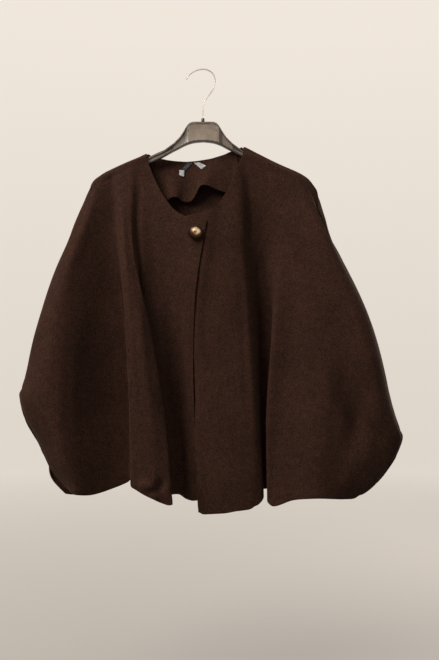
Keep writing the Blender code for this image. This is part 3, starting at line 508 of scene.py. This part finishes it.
def makePlastic(settings):
    material, tree, shader = startMaterial("hanger_plastic")
    place = scaledPlace(tree, (1, 1, 1))
    mottle = addNoise(tree, place, 60, 3, 0.6)
    cloud = addNoise(tree, place, 22, 2, 0.5)
    scratches = addNoise(tree, scaledPlace(tree, (30, 300, 300)), 1, 3, 0.6)
    axes = addNode(tree, "ShaderNodeSeparateXYZ", {"Vector": place}).outputs
    across = addNode(tree, "ShaderNodeMath", {0: axes["X"]}, operation="ABSOLUTE").outputs[0]
    inner, outer = settings["stepAcross"]
    # painted reflection: the block and arm fronts take the light taupe tones
    face = addMix(tree, addRange(tree, mottle, 0.35, 0.65), settings["face"], settings["mottledFaceReflection"])
    face = addMix(tree, addRange(tree, cloud, 0.4, 0.7, 0, 0.5), face, settings["arm"])
    colour = addMix(tree, addRange(tree, across, inner, outer), face, settings["arm"])
    # painted shade on the sloped steps between the block and the arms
    stepIn = addRange(tree, across, inner - 0.4 * mm, inner + 0.6 * mm)
    stepOut = addRange(tree, across, outer + 0.5 * mm, outer - 1.5 * mm)
    step = addNode(tree, "ShaderNodeMath", {0: stepIn, 1: stepOut}, operation="MULTIPLY").outputs[0]
    step = addNode(tree, "ShaderNodeMath", {0: step, 1: 0.85}, operation="MULTIPLY").outputs[0]
    colour = addMix(tree, step, colour, settings["step"])
    rim = addNode(tree, "ShaderNodeAttribute", attribute_name="rim").outputs["Fac"]
    # painted shade on the upper and lower rims
    colour = addMix(tree, addRange(tree, rim, 0, 1, 0, 0.8), colour, settings["upperRimShade"])
    colour = addMix(tree, addRange(tree, rim, 0, -1, 0, 0.92), colour, settings["lowerRimShadeAndPins"])
    for pinAcross, pinUp in settings["pins"]:
        flat = addNode(tree, "ShaderNodeCombineXYZ", {"X": axes["X"], "Y": 0.0, "Z": axes["Z"]}).outputs[0]
        away = addNode(tree, "ShaderNodeVectorMath", {0: flat, 1: (pinAcross, 0, pinUp)},
                       operation="DISTANCE").outputs["Value"]
        pin = addRange(tree, away, settings["pinRadius"] * 1.2, settings["pinRadius"] * 0.8, 0, 0.9)
        colour = addMix(tree, pin, colour, settings["lowerRimShadeAndPins"])
    tree.links.new(colour, shader.inputs["Base Color"])
    tree.links.new(addRange(tree, scratches, 0.3, 0.7, 0.26, 0.46), shader.inputs["Roughness"])
    addBump(tree, shader, [(mottle, 0.12, 0.0006), (scratches, 0.1, 0.0002)])
    return material


hanger = copyNode("hanger_body", "hanger_bar")
roundEdges(hanger, hangerSettings["edgeRound"], 35, 35)
markRimShade(hanger, hangerSettings)
finishPiece(hanger, "hanger_body", makePlastic(hangerSettings))


metalTable = [
    {"name": "hook_steel", "bright": (0.60, 0.555, 0.50), "worn": (0.52, 0.475, 0.425),
     "roughness": (0.50, 0.60), "grainScale": (90, 90, 40)},
    {"name": "collar_steel", "bright": (0.10, 0.08, 0.065), "worn": (0.055, 0.042, 0.034),
     "roughness": (0.3, 0.5), "grainScale": (500, 500, 300)},
]


def makeMetal(row):
    material, tree, shader = startMaterial(row["name"], **{"Metallic": 1.0})
    grain = addNoise(tree, scaledPlace(tree, row["grainScale"]), 1, 2, 0.5)
    colour = addMix(tree, addRange(tree, grain, 0.35, 0.65), row["bright"], row["worn"])
    tree.links.new(colour, shader.inputs["Base Color"])
    tree.links.new(addRange(tree, grain, 0.3, 0.7, *row["roughness"]), shader.inputs["Roughness"])
    addBump(tree, shader, [(grain, 0.1, 0.0001)])
    return material


hookSteel, collarSteel = [makeMetal(metalRow) for metalRow in metalTable]
hook = copyNode("hanger_hook", "hook_loop")
useModifier(hook, "SUBSURF", levels=2, render_levels=2)
pick(hook)
bpy.ops.object.shade_smooth()
finishPiece(hook, "hanger_hook", hookSteel)

# the collar is a turned sleeve with a groove under its lip
collarSettings = {
    "up": -100.5 * mm,
    "radius": 3.4 * mm,
    "height": 6.4 * mm,
    "groove": 0.5 * mm,
    "grooveBand": (1.1 * mm, 2.0 * mm),        # above the collar's middle
    "edgeRound": 0.25 * mm,
}
bpy.ops.object.select_all(action="DESELECT")
bpy.ops.mesh.primitive_cylinder_add(vertices=40, radius=collarSettings["radius"],
                                    depth=collarSettings["height"],
                                    location=(0, 0, collarSettings["up"]))
collar = bpy.context.object
collar.name = collar.data.name = "hook_collar"
bpy.ops.object.transform_apply(location=True, rotation=True, scale=True)
bpy.ops.object.mode_set(mode="EDIT")
for cut in collarSettings["grooveBand"]:
    bpy.ops.mesh.select_all(action="SELECT")
    bpy.ops.mesh.bisect(plane_co=(0, 0, collarSettings["up"] + cut), plane_no=(0, 0, 1))
bpy.ops.mesh.select_all(action="DESELECT")
bpy.ops.object.mode_set(mode="OBJECT")
bandFoot, bandTop = [collarSettings["up"] + cut for cut in collarSettings["grooveBand"]]
for face in collar.data.polygons:
    face.select = abs(face.normal.z) < 0.5 and bandFoot < face.center.z < bandTop
bpy.ops.object.mode_set(mode="EDIT")
bpy.ops.mesh.select_mode(type="FACE")
bpy.ops.mesh.extrude_region_shrink_fatten(
    TRANSFORM_OT_shrink_fatten={"value": -collarSettings["groove"]})
bpy.ops.object.mode_set(mode="OBJECT")
roundEdges(collar, collarSettings["edgeRound"], 40, 35)
finishPiece(collar, "hanger_collar", collarSteel)

# button: a domed face pressed over a flat rolled rim, on a thread shank
buttonSettings = {
    "middle": (-14 * mm, -330 * mm),
    "front": -58.3 * mm,
    "radius": 13.2 * mm,
    "dome": 7.4 * mm,
    "backCut": 0.6 * mm,
    "rings": [
        {"name": "rolled rim", "radius": 12.9 * mm, "wire": 1.1 * mm, "behind": 0.2 * mm},
        {"name": "outer ring", "radius": 10.6 * mm, "wire": 0.35 * mm, "behind": -4.2 * mm},
        {"name": "centre ring", "radius": 2.5 * mm, "wire": 0.4 * mm, "behind": -7.2 * mm},
    ],
    "gilt": (0.80, 0.62, 0.40),
    "bronze": (0.11, 0.052, 0.022),
    "shade": (0.032, 0.018, 0.011),
    # where the painted highlight sits, measured from the button's middle
    "glow": (2.4 * mm, 3.0 * mm),
}


def makeButton(settings):
    across, up = settings["middle"]
    base = settings["front"] + settings["dome"]
    bpy.ops.object.select_all(action="DESELECT")
    bpy.ops.mesh.primitive_uv_sphere_add(segments=64, ring_count=32, radius=1)
    dome = bpy.context.object
    dome.name = dome.data.name = "domed_button"
    dome.rotation_euler = (radians(90), 0, 0)
    bpy.ops.object.transform_apply(location=False, rotation=True, scale=False)
    dome.scale = (settings["radius"], settings["dome"], settings["radius"])
    dome.location = (across, base, up)
    bpy.ops.object.transform_apply(location=True, rotation=True, scale=True)
    bpy.ops.object.mode_set(mode="EDIT")
    bpy.ops.mesh.select_all(action="SELECT")
    bpy.ops.mesh.bisect(plane_co=(across, base + settings["backCut"], up), plane_no=(0, 1, 0),
                        use_fill=True, clear_outer=True)
    bpy.ops.object.mode_set(mode="OBJECT")
    parts = [dome]
    for ring in settings["rings"]:
        bpy.ops.object.select_all(action="DESELECT")
        bpy.ops.mesh.primitive_torus_add(major_radius=ring["radius"], minor_radius=ring["wire"],
                                         major_segments=72, minor_segments=12,
                                         location=(across, base + ring["behind"], up),
                                         rotation=(radians(90), 0, 0))
        bpy.ops.object.transform_apply(location=True, rotation=True, scale=True)
        parts.append(bpy.context.object)
    bpy.ops.object.select_all(action="DESELECT")
    for part in parts:
        part.select_set(True)
    bpy.context.view_layer.objects.active = dome
    bpy.ops.object.join()
    bpy.ops.object.shade_smooth_by_angle(angle=radians(50))
    return dome


def makeGilt(settings):
    material, tree, shader = startMaterial("button_gilt", **{"Metallic": 1.0})
    place = scaledPlace(tree, (1, 1, 1))
    wear = addNoise(tree, place, 260, 3, 0.6)
    dents = addNoise(tree, place, 120, 2, 0.5)
    # painted highlight: the gilt spot up and to the right of the middle stands for a reflected light; away
    # from it the colour falls to bronze and then to the shade colour, a painted dark reflection on the lower
    # left
    middle = (settings["middle"][0], 0, settings["middle"][1])
    glow = (middle[0] + settings["glow"][0], 0, middle[2] + settings["glow"][1])
    axes = addNode(tree, "ShaderNodeSeparateXYZ", {"Vector": place}).outputs
    flat = addNode(tree, "ShaderNodeCombineXYZ", {"X": axes["X"], "Y": 0.0, "Z": axes["Z"]}).outputs[0]
    away = addNode(tree, "ShaderNodeVectorMath", {0: flat, 1: glow}, operation="DISTANCE").outputs["Value"]
    away = addNode(tree, "ShaderNodeMath", {0: away, 1: addRange(tree, dents, 0.3, 0.7, -1.1 * mm, 1.1 * mm)},
                   operation="ADD").outputs[0]
    colour = addMix(tree, addRange(tree, away, 4.8 * mm, 8.0 * mm), settings["gilt"], settings["bronze"])
    colour = addMix(tree, addRange(tree, away, 8.5 * mm, 12.5 * mm), colour, settings["shade"])
    # the middle inside the small ring is darkened with the shade colour
    inward = addNode(tree, "ShaderNodeVectorMath", {0: flat, 1: middle},
                     operation="DISTANCE").outputs["Value"]
    colour = addMix(tree, addRange(tree, inward, 3.6 * mm, 2.6 * mm, 0, 0.75), colour, settings["shade"])
    colour = addMix(tree, addRange(tree, wear, 0.6, 0.72, 0, 0.7), colour, settings["bronze"])
    tree.links.new(colour, shader.inputs["Base Color"])
    tree.links.new(addRange(tree, wear, 0.3, 0.7, 0.30, 0.46), shader.inputs["Roughness"])
    addBump(tree, shader, [(dents, 0.12, 0.0006), (wear, 0.1, 0.0002)])
    return material


finishPiece(makeButton(buttonSettings), "button", makeGilt(buttonSettings))

# woven ribbons and thread
ribbonTable = [
    {"node": "neck_label", "name": "dark_ribbon", "slot": "dark_ribbon", "flat": (0.010, 0.017),
     "area": 0.00015, "tone": (0.030, 0.034, 0.044), "worn": (0.120, 0.130, 0.150), "weave": 1500},
    {"node": "size_tab", "name": "white_tab", "slot": "white_ribbon", "flat": (0.010, 0.012),
     "area": 0.000115, "tone": (0.74, 0.73, 0.71), "worn": (0.56, 0.54, 0.52), "weave": 1300},
    {"node": "care_label", "name": "white_ribbon", "slot": "white_ribbon", "flat": (0.011, 0.018),
     "area": 0.000165, "tone": (0.70, 0.69, 0.68), "worn": (0.44, 0.43, 0.43), "weave": 1400},
]


def makeRibbon(row):
    material, tree, shader = startMaterial(row["name"] + "_weave", **{"Roughness": 0.7,
                                                                      "Specular IOR Level": 0.25})
    place = scaledPlace(tree, (1, 1, 1))
    warp = addNode(tree, "ShaderNodeTexWave", {"Vector": place, "Scale": row["weave"], "Distortion": 0.6},
                   bands_direction="X").outputs["Fac"]
    weft = addNode(tree, "ShaderNodeTexWave", {"Vector": place, "Scale": row["weave"], "Distortion": 0.6},
                   bands_direction="Z").outputs["Fac"]
    threads = addNode(tree, "ShaderNodeMath", {0: warp, 1: weft}, operation="MULTIPLY").outputs[0]
    cloud = addNoise(tree, place, 130, 2, 0.5)
    colour = addMix(tree, addRange(tree, cloud, 0.42, 0.66, 0, 0.8), row["tone"], row["worn"])
    colour = addMix(tree, addRange(tree, threads, 0, 1, 0.25, 0), colour, row["worn"])
    tree.links.new(colour, shader.inputs["Base Color"])
    addBump(tree, shader, [(threads, 0.3, 0.0002), (cloud, 0.2, 0.0006)])
    return material


for ribbonRow in ribbonTable:
    ribbon = copyNode(ribbonRow["node"], ribbonRow["name"])
    roundEdges(ribbon, 0.12 * mm, 50, 50)
    finishPiece(ribbon, ribbonRow["node"], makeRibbon(ribbonRow))

threadSettings = {
    "dark": (0.020, 0.010, 0.007),
    "light": (0.065, 0.032, 0.022),
    "twistScale": 900,
}


def makeThread(settings):
    material, tree, shader = startMaterial("shank_thread", **{"Roughness": 0.85})
    twist = addNode(tree, "ShaderNodeTexWave",
                    {"Vector": scaledPlace(tree, (1, 1, 1)), "Scale": settings["twistScale"],
                     "Distortion": 1.5},
                    bands_direction="DIAGONAL").outputs["Fac"]
    tree.links.new(addMix(tree, twist, settings["dark"], settings["light"]), shader.inputs["Base Color"])
    addBump(tree, shader, [(twist, 0.5, 0.0003)])
    return material


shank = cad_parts["button_shank"]
shank.data.materials.clear()
shank.data.materials.append(makeThread(threadSettings))
print("hanger, button and ribbons done")


# stage
stageSettings = {
    "floor": -1.3,
    "radius": 3.4,
    "curve": 1.4,
    "wallTop": 3.2,
    "steps": 14,
    "colour": (0.26, 0.235, 0.21),
    "glowColour": (0.95, 0.87, 0.78),
    "floorReach": (0.3, 3.3),
    "floorGlow": (0.29, 0.67),
    "wallRise": (0.0, 3.0),
    "wallGlow": (0.0, 0.17),
}


def makeStage(settings):
    bpy.ops.object.select_all(action="DESELECT")
    bpy.ops.mesh.primitive_circle_add(vertices=96, radius=settings["radius"], fill_type="NGON",
                                      location=(0, 0, settings["floor"]))
    stage = bpy.context.object
    stage.name = "studio_floor"
    bpy.ops.object.mode_set(mode="EDIT")
    bpy.ops.mesh.select_mode(type="EDGE")
    bpy.ops.mesh.select_all(action="SELECT")
    bpy.ops.mesh.delete(type="ONLY_FACE")
    bpy.ops.mesh.select_all(action="SELECT")
    reach, lift = settings["radius"], 0.0
    for step in range(1, settings["steps"] + 1):
        turn = step / settings["steps"] * pi / 2
        newReach = settings["radius"] + settings["curve"] * sin(turn)
        newLift = settings["curve"] * (1 - cos(turn))
        bpy.ops.mesh.extrude_edges_move(TRANSFORM_OT_translate={"value": (0, 0, newLift - lift)})
        bpy.ops.transform.resize(value=(newReach / reach, newReach / reach, 1),
                                 center_override=(0, 0, settings["floor"]))
        reach, lift = newReach, newLift
    bpy.ops.mesh.extrude_edges_move(TRANSFORM_OT_translate={"value": (0, 0, settings["wallTop"])})
    bpy.ops.mesh.select_all(action="DESELECT")
    bpy.ops.object.mode_set(mode="OBJECT")
    shape = bmesh.new()
    shape.from_mesh(stage.data)
    low = min(v.co.z for v in shape.verts)
    ring = [e for e in shape.edges if e.is_boundary and e.verts[0].co.z < low + 0.001]
    bmesh.ops.edgeloop_fill(shape, edges=ring)
    bmesh.ops.recalc_face_normals(shape, faces=shape.faces)
    if shape.faces[:][-1].normal.z < 0:
        bmesh.ops.reverse_faces(shape, faces=shape.faces)
    shape.to_mesh(stage.data)
    shape.free()
    bpy.ops.object.shade_smooth()
    return stage


def makePaper(settings):
    material, tree, shader = startMaterial(
        "studio_paper", **{"Base Color": settings["colour"], "Roughness": 0.9,
                           "Emission Color": settings["glowColour"]})
    place = scaledPlace(tree, (1, 1, 1))
    axes = addNode(tree, "ShaderNodeSeparateXYZ", {"Vector": place}).outputs
    flat = addNode(tree, "ShaderNodeCombineXYZ", {"X": axes["X"], "Y": axes["Y"], "Z": 0.0}).outputs[0]
    reach = addNode(tree, "ShaderNodeVectorMath", {0: flat}, operation="LENGTH").outputs["Value"]
    floorGlow = addRange(tree, reach, *settings["floorReach"], *settings["floorGlow"])
    wallGlow = addRange(tree, axes["Z"], *settings["wallRise"], *settings["wallGlow"])
    glow = addNode(tree, "ShaderNodeMath", {0: floorGlow, 1: wallGlow}, operation="ADD").outputs[0]
    tree.links.new(glow, shader.inputs["Emission Strength"])
    addBump(tree, shader, [(addNoise(tree, place, 180, 3, 0.6), 0.05, 0.001)])
    return material


stage = makeStage(stageSettings)
stage.data.materials.append(makePaper(stageSettings))
stage.visible_diffuse = False        # its glow doesn't flatten the folds

# light
lightTable = [
    {"name": "key", "place": (-1.55, -1.5, 1.3), "aim": (0, 0, -0.35), "size": 1.3, "power": 59,
     "colour": (1.0, 0.97, 0.93)},
    {"name": "top", "place": (-0.2, -1.0, 2.3), "aim": (0, 0, -0.4), "size": 1.6, "power": 10,
     "colour": (1.0, 0.98, 0.95)},
    {"name": "rim", "place": (1.5, 1.15, 0.1), "aim": (0, 0, -0.45), "size": 1.2, "power": 20,
     "colour": (1.0, 0.95, 0.90)},
]
for row in lightTable:
    bpy.ops.object.light_add(type="AREA", location=row["place"])
    lamp = bpy.context.object
    lamp.name = row["name"]
    lamp.data.size = row["size"]
    lamp.data.energy = row["power"]
    lamp.data.color = row["colour"]
    aim = Vector(row["aim"]) - Vector(row["place"])
    lamp.rotation_euler = aim.to_track_quat("-Z", "Y").to_euler()
worldSettings = {
    "colour": (1.0, 0.965, 0.92),
    "strength": 0.15,
}
world = bpy.data.worlds.new("studio")
bpy.context.scene.world = world
world.use_nodes = True
background = world.node_tree.nodes["Background"]
background.inputs["Color"].default_value = (*worldSettings["colour"], 1)
background.inputs["Strength"].default_value = worldSettings["strength"]
bpy.context.scene.view_settings.view_transform = "Standard"
print("stage and light set")
